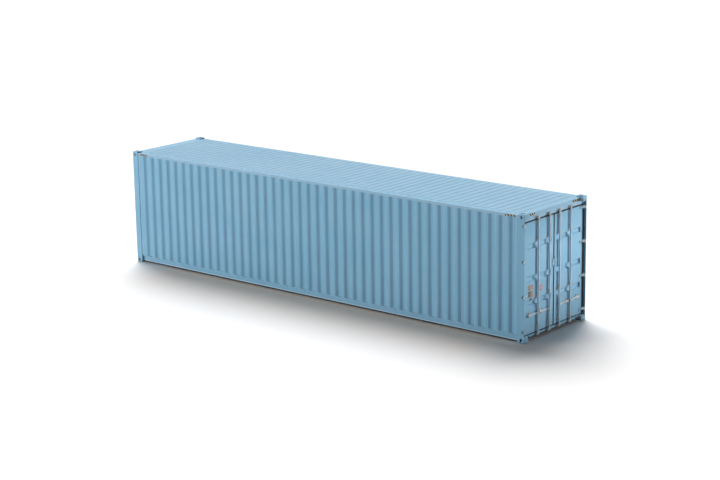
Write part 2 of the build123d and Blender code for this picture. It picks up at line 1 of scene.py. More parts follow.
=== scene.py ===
import math
import bpy
import bmesh
import numpy as np
from mathutils import Matrix, Vector


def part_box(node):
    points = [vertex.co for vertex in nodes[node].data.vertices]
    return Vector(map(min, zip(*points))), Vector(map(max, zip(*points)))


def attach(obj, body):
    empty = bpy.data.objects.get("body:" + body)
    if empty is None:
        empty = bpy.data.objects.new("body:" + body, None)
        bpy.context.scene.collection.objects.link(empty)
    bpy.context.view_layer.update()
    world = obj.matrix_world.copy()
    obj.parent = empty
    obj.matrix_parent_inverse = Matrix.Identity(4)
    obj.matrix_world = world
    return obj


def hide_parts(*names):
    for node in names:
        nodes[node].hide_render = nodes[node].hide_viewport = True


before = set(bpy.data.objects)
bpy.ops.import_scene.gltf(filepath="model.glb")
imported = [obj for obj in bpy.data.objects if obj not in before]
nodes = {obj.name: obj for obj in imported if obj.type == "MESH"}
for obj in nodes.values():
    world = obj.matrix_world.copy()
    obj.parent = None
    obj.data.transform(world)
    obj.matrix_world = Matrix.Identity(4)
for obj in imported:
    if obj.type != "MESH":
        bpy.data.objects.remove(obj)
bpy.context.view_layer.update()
print("frame loaded:", len(nodes), "nodes")

# camera at the picture's standpoint, metres and degrees, with the lens for a 36 mm wide sensor
cameraView = {
    "place": (27.9546, -32.73085, 11.85672),
    "azimuth": 40.051,
    "elevation": 13.9045,
    "roll": -0.8932,
    "lens": 91.412,
    "sensor": 36.0,
    "reach": 900.0,
}


def makeCamera(view):
    # back points from the object to the lens; right and up are then turned about it by the roll
    azimuth, elevation, roll = (math.radians(view[key]) for key in ("azimuth", "elevation", "roll"))
    level = math.cos(elevation)
    back = Vector((math.sin(azimuth) * level, -math.cos(azimuth) * level, math.sin(elevation)))
    right = Vector((math.cos(azimuth), math.sin(azimuth), 0))
    up = back.cross(right)
    turnedRight = right * math.cos(roll) + up * math.sin(roll)
    turnedUp = up * math.cos(roll) - right * math.sin(roll)
    data = bpy.data.cameras.new("pictureCamera")
    data.lens, data.sensor_width, data.clip_end = view["lens"], view["sensor"], view["reach"]
    camera = bpy.data.objects.new("pictureCamera", data)
    bpy.context.scene.collection.objects.link(camera)
    camera.matrix_world = Matrix((turnedRight, turnedUp, back)).transposed().to_4x4()
    camera.location = view["place"]
    bpy.context.scene.camera = camera


makeCamera(cameraView)
print("camera set")


# small helpers for shader trees: a value is a number or another node's socket
def setSockets(tree, node, sockets):
    for key, value in sockets.items():
        if isinstance(value, bpy.types.NodeSocket):
            tree.links.new(value, node.inputs[key])
        else:
            node.inputs[key].default_value = value


def addNode(tree, kind, sockets=None, **settings):
    node = tree.nodes.new(kind)
    for key, value in settings.items():
        setattr(node, key, value)
    setSockets(tree, node, sockets or {})
    return node


def mathOf(tree, operation, *values):
    return addNode(tree, "ShaderNodeMath", dict(enumerate(values)), operation=operation).outputs[0]


def rampOf(tree, value, low, high, toLow=0.0, toHigh=1.0):
    # straight line from one pair of values to another, held at both ends
    sockets = {"Value": value, "From Min": low, "From Max": high, "To Min": toLow, "To Max": toHigh}
    return addNode(tree, "ShaderNodeMapRange", sockets).outputs["Result"]


def mixOf(tree, share, *colours):
    ready = [value if isinstance(value, bpy.types.NodeSocket) else (*value, 1.0) for value in colours]
    sockets = {0: share, 6: ready[0], 7: ready[1]}  # inputs 6 and 7 are the two colours
    return addNode(tree, "ShaderNodeMix", sockets, data_type="RGBA").outputs[2]


def noiseOf(tree, coords, scale, stretch=(1, 1, 1), detail=3.0, rough=0.5):
    mapping = addNode(tree, "ShaderNodeMapping", {"Vector": coords, "Scale": stretch})
    sockets = {"Vector": mapping.outputs[0], "Scale": scale, "Detail": detail, "Roughness": rough}
    return addNode(tree, "ShaderNodeTexNoise", sockets).outputs["Fac"]


def patchOf(tree, coords, between, upTo=1.0, **noise):
    # noise spread out from 0 to upTo between two of its values
    return rampOf(tree, noiseOf(tree, coords, **noise), *between, 0.0, upTo)


def fadeOf(tree, place, fades):
    # product of straight fades along the axes, each from its start (0) to where it is full (1)
    share = 1.0
    for axis, pairs in fades.items():
        for start, full in pairs:
            share = mathOf(tree, "MULTIPLY", share, rampOf(tree, place[axis], start, full))
    return share


def objectPlaces(tree):
    coords = addNode(tree, "ShaderNodeTexCoord").outputs["Object"]
    return coords, addNode(tree, "ShaderNodeSeparateXYZ", {"Vector": coords}).outputs


def bumpOf(tree, height, strength, depth, below=None):
    sockets = {"Height": height, "Strength": strength, "Distance": depth}
    if below is not None:
        sockets["Normal"] = below
    return addNode(tree, "ShaderNodeBump", sockets).outputs["Normal"]


def newFinish(name):
    finish = bpy.data.materials.new(name)
    finish.use_nodes = True
    tree = finish.node_tree
    tree.nodes.clear()
    surface = addNode(tree, "ShaderNodeBsdfPrincipled")
    addNode(tree, "ShaderNodeOutputMaterial", {0: surface.outputs[0]})
    return finish, tree, surface


# white surroundings: plain light for the object, and white where the lens or a reflection sees them
studio = {
    "skyLight": 0.028,
    "floorColour": (0.900, 0.892, 0.890),
    "speckle": {"scale": 40.0},
    "speckleShade": 0.99,
    "shadeTintColour": (1.000, 0.760, 0.600),  # painted warm tint beside the box, cancelling the blue light it throws into its own shade on the floor
    "shadeTintFades": {"X": ((-6.2, -4.5), (6.9, 5.2)), "Y": ((-3.8, -1.2), (0.4, -1.0))},
    "floorLift": 0.035,
    "floorBounce": 0.34,  # share of the floor's own colour that it throws back on the object
    "floorReach": 400.0,
    "keyFrom": (-0.462, 0.443, 0.725),
    "keyStrength": 4.68,
    "keySpread": 45.0,
    "fills": {  # soft panels: standpoint, what each faces, width and height, and the light it gives there
        "sideFill": {
            "place": (-29.5, -38.0, 1.6), "target": (0.0, -1.2, 1.4),
            "size": (18.0, 18.0), "spread": 180.0, "light": 4.85,
        },
        "doorFill": {
            "place": (11.0, 9.4, 2.6), "target": (6.1, -0.5, 1.8),
            "size": (2.2, 0.5), "spread": 34.0, "light": 0.212,
        },
        "frontFill": {
            "place": (46.0, -22.0, 4.5), "target": (0.0, 0.0, 1.5),
            "size": (14.0, 14.0), "spread": 180.0, "light": 0.18,
        },
    },
}


def seenDirectly(tree):
    path = addNode(tree, "ShaderNodeLightPath").outputs
    either = mathOf(tree, "MAXIMUM", path["Is Camera Ray"], path["Is Glossy Ray"])
    return mathOf(tree, "MAXIMUM", either, path["Is Transmission Ray"])


def addLamp(name, kind, place, facing, power):
    lamp = bpy.data.lights.new(name, kind)
    lamp.energy = power
    holder = bpy.data.objects.new(name, lamp)
    bpy.context.scene.collection.objects.link(holder)
    holder.location = place
    holder.rotation_mode = "QUATERNION"
    holder.rotation_quaternion = facing.to_track_quat("Z", "Y")
    holder.visible_camera = holder.visible_glossy = False
    return lamp


def makeStudio(values):
    world = bpy.data.worlds.new("whiteStudio")
    world.use_nodes = True
    bpy.context.scene.world = world
    tree = world.node_tree
    tree.nodes.clear()
    strength = mathOf(tree, "MULTIPLY_ADD", seenDirectly(tree), 1.0 - values["skyLight"], values["skyLight"])
    shine = addNode(tree, "ShaderNodeBackground", {"Color": (1, 1, 1, 1), "Strength": strength})
    addNode(tree, "ShaderNodeOutputWorld", {0: shine.outputs[0]})
    keyFrom = Vector(values["keyFrom"])
    key = addLamp("key", "SUN", keyFrom, keyFrom, values["keyStrength"])
    key.angle = math.radians(values["keySpread"])
    for name, fill in values["fills"].items():
        place = Vector(fill["place"])
        away = place - Vector(fill["target"])
        power = fill["light"] * math.pi * away.length_squared  # light thins with the square of the distance
        panel = addLamp(name, "AREA", place, away, power)
        panel.shape = "RECTANGLE"
        panel.size, panel.size_y = fill["size"]
        panel.spread = math.radians(fill["spread"])


def makeFloor(values):
    finish, tree, surface = newFinish("paleFloor")
    coords, place = objectPlaces(tree)
    pale = values["floorColour"]
    shaded, bounced = (tuple(part * values[key] for part in pale) for key in ("speckleShade", "floorBounce"))
    tone = mixOf(tree, noiseOf(tree, coords, **values["speckle"]), pale, shaded)
    # painted warm tint in the box's shade on the floor, against its blue bounce light
    beside = fadeOf(tree, place, values["shadeTintFades"])
    tone = mixOf(tree, mathOf(tree, "MULTIPLY", beside, beside), tone, values["shadeTintColour"])
    seen = seenDirectly(tree)
    tone = mixOf(tree, seen, bounced, tone)
    setSockets(tree, surface, {"Base Color": tone, "Roughness": 1.0, "Specular IOR Level": 0.0})
    lift = mathOf(tree, "MULTIPLY", seen, values["floorLift"])
    glow = addNode(tree, "ShaderNodeEmission", {"Color": (1, 1, 1, 1), "Strength": lift})
    out = surface.outputs[0].links[0].to_node
    both = addNode(tree, "ShaderNodeAddShader", {0: surface.outputs[0], 1: glow.outputs[0]})
    tree.links.new(both.outputs[0], out.inputs[0])
    reach = values["floorReach"]
    mesh = bpy.data.meshes.new("studioFloor")
    corners = [(-reach, -reach, 0), (reach, -reach, 0), (reach, reach, 0), (-reach, reach, 0)]
    mesh.from_pydata(corners, [], [(0, 1, 2, 3)])
    mesh.materials.append(finish)
    floor = bpy.data.objects.new("studioFloor", mesh)
    bpy.context.scene.collection.objects.link(floor)


makeStudio(studio)
makeFloor(studio)
print("studio lit")

# blue coat over steel: broad tone changes, rain streaks, grime low down, chips, local coats (some of them
# painted highlight, light and shade) and a fine skin
bluePaint = {
    "coat": (0.188, 0.392, 0.548),
    "faded": (0.235, 0.428, 0.580),
    "pale": (0.430, 0.520, 0.600),
    "grime": (0.120, 0.200, 0.240),
    # pale tone, laid on the rail flanges as a painted highlight
    "dustAndSheen": (0.460, 0.580, 0.660),
    # black undercoat, which also serves as painted shade under the sill and along the feet
    "bitumenAndShade": (0.012, 0.012, 0.013),
    "chip": (0.240, 0.130, 0.080),
    # pale tone painted inside the casting hollows as painted light
    "paintedHollowLight": (0.62, 0.70, 0.74),
    "tones": {"scale": 0.7, "stretch": (1, 1, 1.6), "between": (0.35, 0.65)},
    "rain": {"scale": 1.0, "stretch": (9.0, 9.0, 0.35), "detail": 5.0, "rough": 0.6, "between": (0.50, 0.80)},
    "patches": {"scale": 5.0, "detail": 4.0, "between": (0.35, 0.70)},
    "flakes": {"scale": 26.0, "detail": 6.0, "rough": 0.62, "between": (0.735, 0.755)},
    "fadeShare": 0.5,
    "paleShare": 0.0,
    "streakShare": 0.16,
    "grimeShare": 0.12,
    "grimeHeight": 0.45,
    "chipShare": 0.80,  # above 1 gives larger chips
    "coats": (),  # colour, share and fades (start and full, in metres) of each coat on one place
    # paler paint on rib slopes, painted light that evens out their shade
    "slopeLightShare": 0.0,
    "slopeLightLean": (0.15, 0.40),
    "roughness": (0.40, 0.54),
    "shine": 0.45,
    "wave": {"scale": 2.4, "detail": 1.0},
    "waveBump": (0.25, 0.006),
    "skin": {"scale": 160.0, "detail": 2.0},
    "skinBump": (0.10, 0.0006),
}

# what differs from the plain blue coat
paints = {
    "wall": {},
    "roof": {
        "fadeShare": 0.6, "streakShare": 0.064, "slopeLightShare": 0.5,
        "roughness": (0.42, 0.54), "shine": 0.70,
    },
    # top rails and header: a pale share mixed into their whole coat as a painted reflection of the white sky
    "top": {"fadeShare": 0.8, "streakShare": 0.080, "paleShare": 0.28},
    "rail": {"coats": (  # pale bands painted along the flanges as highlights, black undercoat below that also paints the contact shade
        ("dustAndSheen", 0.85, {"Z": ((0.167, 0.1706), (0.191, 0.1874))}),
        ("dustAndSheen", 0.85, {"Z": ((0.040, 0.0430), (0.060, 0.0570))}),
        # black undercoat on the lowest edge, which also paints the contact shade along the foot
        ("bitumenAndShade", 1.0, {"Z": ((0.038, 0.032),)}),
    )},
    "sill": {"coats": (  # black undercoat behind and below, which also paints the shade in the recess under the sill
        ("bitumenAndShade", 1.0, {"X": ((6.022, 6.018),), "Z": ((0.118, 0.112),)}),
    )},
    "door": {"fadeShare": 0.9, "streakShare": 0.128, "chipShare": 1.12},
    "rod": {"pale": (0.61, 0.70, 0.79), "paleShare": 0.93, "streakShare": 0.080, "chipShare": 0.96},
    "casting": {
        "fadeShare": 0.7,
        "streakShare": 0.096,
        "chipShare": 1.28,
        "skinBump": (0.60, 0.0026),
        "coats": (  # black undercoat on the foot, which also paints its contact shade; pale painted light inside the hollow, which lifts its shade
            ("bitumenAndShade", 1.0, {"Z": ((0.013, 0.007),)}),
            ("paintedHollowLight", 1.0, {
                "X": ((-6.086, -6.084), (6.086, 6.084)),
                "Y": ((-1.209, -1.207), (1.209, 1.207)),
                "Z": ((0.024, 0.026), (2.872, 2.870)),
            }),
        ),
    },
}


def makePaint(name, values):
    finish, tree, surface = newFinish(name)
    coords, place = objectPlaces(tree)
    tones, rain, patches = (patchOf(tree, coords, **values[key]) for key in ("tones", "rain", "patches"))
    flakes = patchOf(tree, coords, upTo=values["chipShare"], **values["flakes"])
    fade = mathOf(tree, "MULTIPLY", tones, values["fadeShare"])
    colour = mixOf(tree, fade, values["coat"], values["faded"])
    if values["paleShare"]:
        colour = mixOf(tree, values["paleShare"], colour, values["pale"])
    colour = mixOf(tree, mathOf(tree, "MULTIPLY", rain, values["streakShare"]), colour, values["grime"])
    low = rampOf(tree, place["Z"], 0.0, values["grimeHeight"], values["grimeShare"], 0.0)
    colour = mixOf(tree, mathOf(tree, "MULTIPLY", low, patches), colour, values["grime"])
    colour = mixOf(tree, flakes, colour, values["chip"])
    for tone, share, fades in values["coats"]:
        covered = mathOf(tree, "MULTIPLY", fadeOf(tree, place, fades), share)
        colour = mixOf(tree, covered, colour, values[tone])
    if values["slopeLightShare"]:  # painted light: paler paint on the sloping sides of pressed ribs, which evens out their shade
        normal = addNode(tree, "ShaderNodeTexCoord").outputs["Normal"]
        lean = addNode(tree, "ShaderNodeSeparateXYZ", {"Vector": normal}).outputs["X"]
        slope = rampOf(tree, mathOf(tree, "ABSOLUTE", lean), *values["slopeLightLean"], 0.0, values["slopeLightShare"])
        colour = mixOf(tree, slope, colour, values["pale"])
    bump = bumpOf(tree, noiseOf(tree, coords, **values["wave"]), *values["waveBump"])
    bump = bumpOf(tree, noiseOf(tree, coords, **values["skin"]), *values["skinBump"], bump)
    gloss = rampOf(tree, patches, 0.0, 1.0, *values["roughness"])
    looks = {"Base Color": colour, "Roughness": gloss, "Specular IOR Level": values["shine"], "Normal": bump}
    setSockets(tree, surface, looks)
    return finish


# thick black sealing coat under the floor, brushed on, with dust in its hollows
underSeal = {
    "black": (0.010, 0.010, 0.011),
    "dustAndSheen": (0.045, 0.042, 0.038),
    "patches": {"scale": 6.0, "detail": 4.0, "between": (0.45, 0.75)},
    "roughness": (0.45, 0.8),
    "skin": {"scale": 9.0, "stretch": (4.0, 0.6, 1.0), "detail": 5.0, "rough": 0.6},
    "skinBump": (0.4, 0.003),
}

# black seal rubber with grey dust in patches
sealRubber = {
    "black": (0.012, 0.013, 0.014),
    "dustAndSheen": (0.050, 0.052, 0.054),
    "patches": {"scale": 9.0, "stretch": (1, 1, 0.5), "detail": 5.0, "between": (0.40, 0.75)},
    "roughness": (0.55, 0.8),
    "skin": {"scale": 150.0},
    "skinBump": (0.15, 0.0008),
}


def makeBlack(name, values):
    finish, tree, surface = newFinish(name)
    coords, _ = objectPlaces(tree)
    dustAndSheen = patchOf(tree, coords, **values["patches"])
    colour = mixOf(tree, dustAndSheen, values["black"], values["dustAndSheen"])
    gloss = rampOf(tree, dustAndSheen, 0.0, 1.0, *values["roughness"])
    bump = bumpOf(tree, noiseOf(tree, coords, **values["skin"]), *values["skinBump"])
    setSockets(tree, surface, {"Base Color": colour, "Roughness": gloss, "Normal": bump})
    return finish


# zinc coat: flat crystal facets of a few millimetres, dull patches, faint white bloom and brown stains
zincCoat = {
    "bright": (0.62, 0.645, 0.67),
    "dull": (0.46, 0.48, 0.50),
    "bloom": (0.76, 0.775, 0.785),
    "stain": (0.32, 0.21, 0.14),
    "painted": (0.19, 0.40, 0.55),
    "facet": 120.0,
    "blooms": {"scale": 14.0, "detail": 5.0, "between": (0.48, 0.72), "upTo": 0.7},
    "stains": {"scale": 34.0, "detail": 6.0, "rough": 0.6, "between": (0.66, 0.72), "upTo": 0.35},
    "metal": 0.55,
    "roughness": (0.34, 0.58),
    "skin": {"scale": 220.0},
    "skinBump": (0.12, 0.0008),
    "paintFades": None,
}
hingeZinc = {  # painted over with the leaf
    **zincCoat,
    "paintFades": {"Y": ((-1.132, -1.128), (1.132, 1.128))},
}
oxideSteel = {  # blackened bolts
    **zincCoat,
    "bright": (0.050, 0.048, 0.047),
    "dull": (0.024, 0.023, 0.023),
    "bloom": (0.085, 0.070, 0.060),
}


def makeZinc(name, values):
    finish, tree, surface = newFinish(name)
    coords, place = objectPlaces(tree)
    sockets = {"Vector": coords, "Scale": values["facet"]}
    cells = addNode(tree, "ShaderNodeTexVoronoi", sockets).outputs["Color"]
    facet = addNode(tree, "ShaderNodeSeparateColor", {"Color": cells}).outputs[0]
    colour = mixOf(tree, facet, values["bright"], values["dull"])
    for patches, tone in (("blooms", "bloom"), ("stains", "stain")):
        colour = mixOf(tree, patchOf(tree, coords, **values[patches]), colour, values[tone])
    metal = values["metal"]
    if values["paintFades"]:
        painted = fadeOf(tree, place, values["paintFades"])
        colour = mixOf(tree, painted, colour, values["painted"])
        metal = rampOf(tree, painted, 0.0, 1.0, values["metal"], 0.0)
    gloss = rampOf(tree, facet, 0.0, 1.0, *values["roughness"])
    bump = bumpOf(tree, noiseOf(tree, coords, **values["skin"]), *values["skinBump"])
    setSockets(tree, surface, {"Base Color": colour, "Metallic": metal, "Roughness": gloss, "Normal": bump})
    return finish


# oiled hardwood ply: grain drawn out along the box, darker oil patches and boot scuffs
floorPly = {
    "light": (0.30, 0.165, 0.085),
    "dark": (0.135, 0.066, 0.032),
    "scuff": (0.36, 0.27, 0.19),
    "grain": {"scale": 1.0, "stretch": (1.6, 60.0, 60.0), "detail": 6.0, "rough": 0.65},
    "grainBetween": (0.30, 0.70),
    "oils": {"scale": 1.3, "detail": 4.0, "between": (0.45, 0.70), "upTo": 0.6},
    "scuffs": {
        "scale": 1.0, "stretch": (2.0, 14.0, 1.0), "detail": 5.0,
        "between": (0.58, 0.70), "upTo": 0.6,
    },
    "glossBetween": (0.2, 0.8),
    "roughness": (0.45, 0.75),
    "grainBump": (0.2, 0.0015),
}


def makePly(name, values):
    finish, tree, surface = newFinish(name)
    coords, _ = objectPlaces(tree)
    grain = noiseOf(tree, coords, **values["grain"])
    colour = mixOf(tree, rampOf(tree, grain, *values["grainBetween"]), values["light"], values["dark"])
    for patches, tone in (("oils", "dark"), ("scuffs", "scuff")):
        colour = mixOf(tree, patchOf(tree, coords, **values[patches]), colour, values[tone])
    gloss = rampOf(tree, grain, *values["glossBetween"], *values["roughness"])
    bump = bumpOf(tree, grain, *values["grainBump"])
    setSockets(tree, surface, {"Base Color": colour, "Roughness": gloss, "Normal": bump})
    return finish


finishes = {kind: makePaint(kind + "Paint", {**bluePaint, **changes}) for kind, changes in paints.items()}
finishes["seal"] = makeBlack("underSeal", underSeal)
finishes["rubber"] = makeBlack("sealRubber", sealRubber)
finishes["zinc"] = makeZinc("zincCoat", zincCoat)
finishes["oxide"] = makeZinc("oxideSteel", oxideSteel)
finishes["hinge"] = makeZinc("hingeZinc", hingeZinc)
finishes["ply"] = makePly("floorPly", floorPly)
print("finishes made:", ", ".join(finishes))

# which finish each CAD node shows, by a word in its name; the first that fits is used
nodeFinish = (
    ("casting", "casting"), ("roof", "roof"), ("gasket", "rubber"), ("plywood", "ply"),
    ("cross", "seal"), ("tunnel", "seal"),
    ("keepers", "zinc"), ("hinge", "hinge"), ("guides", "zinc"), ("rests", "zinc"), ("cams", "zinc"),
    ("handle", "zinc"), ("bottom_side", "rail"), ("top_side", "top"), ("door_header", "top"),
    ("front_top", "top"), ("door_sill", "sill"), ("lock_rod", "rod"), ("door", "door"),
    ("seal_plate", "door"), ("", "wall"),
)
for nodeName, node in nodes.items():
    chosen = next(finish for word, finish in nodeFinish if word in nodeName)
    node.data.materials.clear()
    node.data.materials.append(finishes[chosen])
print("nodes finished")

# rounded edges of the cast corners
castEdge = {"radius": 0.009, "steps": 3, "join": 1e-5, "sharp": 50.0}


def roundCastings(values):
    for name in ("bottom_corner_castings", "top_corner_castings"):
        nodes[name].modifiers.new("joined", "WELD").merge_threshold = values["join"]
        rounding = nodes[name].modifiers.new("rounded", "BEVEL")
        rounding.width, rounding.segments = values["radius"], values["steps"]
        rounding.limit_method, rounding.angle_limit = "ANGLE", math.radians(values["sharp"])
        rounding.harden_normals = True


roundCastings(castEdge)
print("castings rounded")

# surfaces are grids of points joined by quads; a piece may hold many copies of a grid
meshing = {"join": 1e-6, "thin": 1e-7, "sharpAbove": 35.0}


def gridFaces(copies, rows, columns, wrapRows):
    rowStart = np.arange(rows if wrapRows else rows - 1)
    row, column = (values.ravel() for values in np.meshgrid(rowStart, np.arange(columns), indexing="ij"))
    nextRow, nextColumn = (row + 1) % rows, (column + 1) % columns
    corners = ((row, column), (nextRow, column), (nextRow, nextColumn), (row, nextColumn))
    quads = np.stack([atRow * columns + atColumn for atRow, atColumn in corners], 1)
    return (quads[None] + np.arange(copies)[:, None, None] * rows * columns).reshape(-1, 4)


def makePiece(name, grids, finish, body, wrapRows=False):
    # each grid: points as copies x rows x columns x 3; its columns close on themselves, and its rows may
    points, quads, count = [], [], 0
    for grid in grids:
        copies, rows, columns, _ = grid.shape
        points.append(grid.reshape(-1, 3))
        quads.append(gridFaces(copies, rows, columns, wrapRows) + count)
        count += copies * rows * columns
    mesh = bpy.data.meshes.new(name)
    mesh.from_pydata(np.concatenate(points).tolist(), [], np.concatenate(quads).tolist())
    work = bmesh.new()
    work.from_mesh(mesh)
    bmesh.ops.remove_doubles(work, verts=work.verts, dist=meshing["join"])
    bmesh.ops.dissolve_degenerate(work, edges=work.edges, dist=meshing["thin"])
    bmesh.ops.recalc_face_normals(work, faces=work.faces)
    work.to_mesh(mesh)
    work.free()
    mesh.shade_smooth()
    mesh.set_sharp_from_angle(angle=math.radians(meshing["sharpAbove"]))
    mesh.materials.append(finish)
    piece = bpy.data.objects.new(name, mesh)
    bpy.context.scene.collection.objects.link(piece)
    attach(piece, body)
    return piece


# which way each local axis of a grid points: (along, across, out) to the row frame's x, y, z
facings = {
    "door": np.array(((0, 1, 0), (0, 0, 1), (1, 0, 0)), float),
    "left": np.array(((1, 0, 0), (0, 0, 1), (0, -1, 0)), float),
    "right": np.array(((-1, 0, 0), (0, 0, 1), (0, 1, 0)), float),
    "up": np.array(((1, 0, 0), (0, 1, 0), (0, 0, 1)), float),
}


def placed(grid, facing, places):
    # turns a grid's (along, across, out) to a facing and sets a copy of it at each place
    return (grid @ facings[facing])[None] + np.asarray(places, float).reshape(-1, 1, 1, 3)


def turnedHead(profile, steps):
    # rings (out, radius, corners) turned round the out axis; the radius follows a polygon, or a circle for 0
    outs, radii, corners = np.array(profile, float).T[..., None]
    angle = np.linspace(0, 2 * np.pi, steps, endpoint=False)
    wedge = np.pi / np.maximum(corners, 1)
    polygon = np.cos(wedge) / np.cos(np.mod(angle + wedge, 2 * wedge) - wedge)
    radius = radii * np.where(corners == 0, 1.0, polygon)
    return np.stack([radius * np.cos(angle), radius * np.sin(angle), np.repeat(outs, steps, 1)], -1)


def softSlab(length, width, rise, edge):
    # plate with rounded edges: each ring is the rectangle drawn in by an inset, from its underside to its top
    shoulder = edge * 0.3  # about where a quarter round is halfway
    insets = (0.0, 0.0, shoulder, edge, min(length, width) / 2)
    outs = (0.0, rise - edge, rise - shoulder, rise, rise)
    square = np.array(((-1, -1), (1, -1), (1, 1), (-1, 1)), float)
    half = np.array((length, width)) / 2 - np.array(insets)[:, None]
    rings = np.dstack([square[None] * half[:, None], np.repeat(np.array(outs)[:, None], 4, 1)])
    return np.concatenate([np.zeros((1, 4, 3)), rings])


# beads: pitches from ring to ring, rate of the ripples, and the lean from which a path counts as upright
beads = {"pitchesApart": 2, "rippleRate": 2.2, "upright": 0.9}


def beadAlong(path, radius, around, ripple, pitch):
    # round bead along a path: the radius swells and shrinks with the sine of the length run
    path = np.asarray(path, float)
    lengths = np.linalg.norm(np.diff(path, axis=0), axis=1)
    run = np.concatenate([[0.0], np.cumsum(lengths)])
    count = max(2, int(run[-1] / (pitch * beads["pitchesApart"])))
    places = np.unique(np.concatenate([np.linspace(0, run[-1], count), run]))
    line = np.stack([np.interp(places, run, path[:, axis]) for axis in range(3)], -1)
    ahead = np.gradient(line, axis=0)
    ahead /= np.linalg.norm(ahead, axis=1)[:, None]
    isUpright = np.abs(ahead[:, 2:]) > beads["upright"]
    across = np.cross(ahead, np.where(isUpright, np.array((1.0, 0, 0)), np.array((0, 0, 1.0))))
    across /= np.linalg.norm(across, axis=1)[:, None]
    upward = np.cross(across, ahead)
    angle = np.linspace(0, 2 * np.pi, around, endpoint=False)[None, :, None]
    swell = radius * (1 + ripple * np.sin(places / pitch * beads["rippleRate"]))[:, None, None]
    tube = line[:, None] + swell * (np.cos(angle) * across[:, None] + np.sin(angle) * upward[:, None])
    caps = [np.repeat(line[index][None, None], around, 1) for index in (0, -1)]
    return np.concatenate([caps[0], tube, caps[1]])[None]


def cornersOf(node):
    # all corners of a CAD node in the row frame
    mesh, matrix = nodes[node].data, np.array(nodes[node].matrix_world)
    spots = np.empty(len(mesh.vertices) * 3)
    mesh.vertices.foreach_get("co", spots)
    return spots.reshape(-1, 3) @ matrix[:3, :3].T + matrix[:3, 3]


def spansAlong(node, axis, apart=0.2):
    # low and high end of each like piece of a node along one axis: sorted corners split where a gap is wide
    values = np.unique(cornersOf(node)[:, axis].round(5))
    cuts = np.flatnonzero(np.diff(values) > apart)
    return list(zip(values[np.concatenate([[0], cuts + 1])], values[np.concatenate([cuts, [-1]])]))


def middlesAlong(node, axis):
    return [(low + high) / 2 for low, high in spansAlong(node, axis)]


ends = (-1, 1)
sides = (("left", -1), ("right", 1))
rodRows = ("inner", "outer")

# hazard bands: yellow tape with slanting black stripes, on the rails and the header near the top corners
hazardBand = {
    "yellow": (0.56, 0.52, 0.36),
    "black": (0.012, 0.012, 0.013),
    "worn": (0.30, 0.34, 0.36),
    "stripePitch": 0.084,
    "yellowShare": 0.34,
    "wobble": {"scale": 60.0, "detail": 2.0},
    "wobbleReach": 0.006,
    "wear": {"scale": 45.0, "detail": 5.0, "rough": 0.6, "between": (0.58, 0.66), "upTo": 0.7},
    "roughness": (0.42, 0.65),
    "length": 0.285,
    "railTall": 0.046,
    "headerTall": 0.058,
    "railGap": 0.070,
    "headerGap": 0.030,
    "headerDrop": 0.006,
    "rise": 0.0012,
}


def makeHazard(name, values):
    # stripes: the sum of the three places over the pitch; a first share of each is yellow, the rest black
    finish, tree, surface = newFinish(name)
    coords, place = objectPlaces(tree)
    slant = mathOf(tree, "ADD", mathOf(tree, "ADD", place["X"], place["Y"]), place["Z"])
    wobble = noiseOf(tree, coords, **values["wobble"])
    slant = mathOf(tree, "MULTIPLY_ADD", wobble, values["wobbleReach"], slant)
    cycle = mathOf(tree, "FRACT", mathOf(tree, "DIVIDE", slant, values["stripePitch"]))
    dark = mathOf(tree, "GREATER_THAN", cycle, values["yellowShare"])
    worn = patchOf(tree, coords, **values["wear"])
    colour = mixOf(tree, worn, mixOf(tree, dark, values["yellow"], values["black"]), values["worn"])
    gloss = rampOf(tree, worn, 0.0, 1.0, *values["roughness"])
    setSockets(tree, surface, {"Base Color": colour, "Roughness": gloss})
    return finish


def makeHazardBands(values):
    length, rise = values["length"], values["rise"]
    railBand = softSlab(length, values["railTall"], rise, rise / 2)
    headerBand = softSlab(length, values["headerTall"], rise, rise / 2)
    railLow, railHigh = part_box("top_side_rails")
    middle = (railLow[2] + railHigh[2]) / 2
    along = railHigh[0] - values["railGap"] - length / 2
    grids = []
    for side, sign in sides:
        grids.append(placed(railBand, side, [(end * along, sign * railHigh[1], middle) for end in ends]))
    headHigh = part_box("door_header")[1]
    castInner = spansAlong("top_corner_castings", 1)[-1][0]
    across = castInner - values["headerGap"] - length / 2
    height = headHigh[2] - values["headerTall"] / 2 - values["headerDrop"]
    grids.append(placed(headerBand, "door", [(headHigh[0], end * across, height) for end in ends]))
    makePiece("hazard_bands", grids, makeHazard("hazardTape", values), "container")


makeHazardBands(hazardBand)
print("hazard bands made")

# bare plates on the left leaf: thin tan and rust-brown sheets on rivets, and a faded red one
doorPlates = {
    "tan": (0.36, 0.27, 0.21),
    "brown": (0.17, 0.10, 0.065),
    "red": (0.38, 0.29, 0.33),
    "weathered": (0.20, 0.22, 0.23),
    "stains": {"scale": 22.0, "detail": 5.0, "rough": 0.6, "between": (0.38, 0.66)},
    "stainShare": 0.6,
    "scratches": {
        "scale": 1.0, "stretch": (40.0, 60.0, 900.0), "detail": 2.0,
        "between": (0.60, 0.72), "upTo": 0.5,
    },
    "scratchBright": 1.7,
    "scratchBump": (0.2, 0.0005),
    "metal": 0.25,
    "roughness": (0.40, 0.70),
    "thick": 0.003,
    "edge": 0.0012,
    "inset": 0.011,
    "rivet": ((0.0, 0.005, 0), (0.0012, 0.0045, 0), (0.0022, 0.00275, 0), (0.0026, 0.0, 0)),
    "rivetSteps": 12,
    "places": {  # across from the middle of the doors, height of the middle, wide, tall
        "tan": ((-0.888, 1.205, 0.200, 0.115), (-0.842, 1.045, 0.092, 0.150)),
        "brown": ((-0.942, 1.055, 0.086, 0.128), (-0.888, 0.934, 0.120, 0.050)),
        "red": ((-0.490, 1.120, 0.135, 0.140),),
    },
}


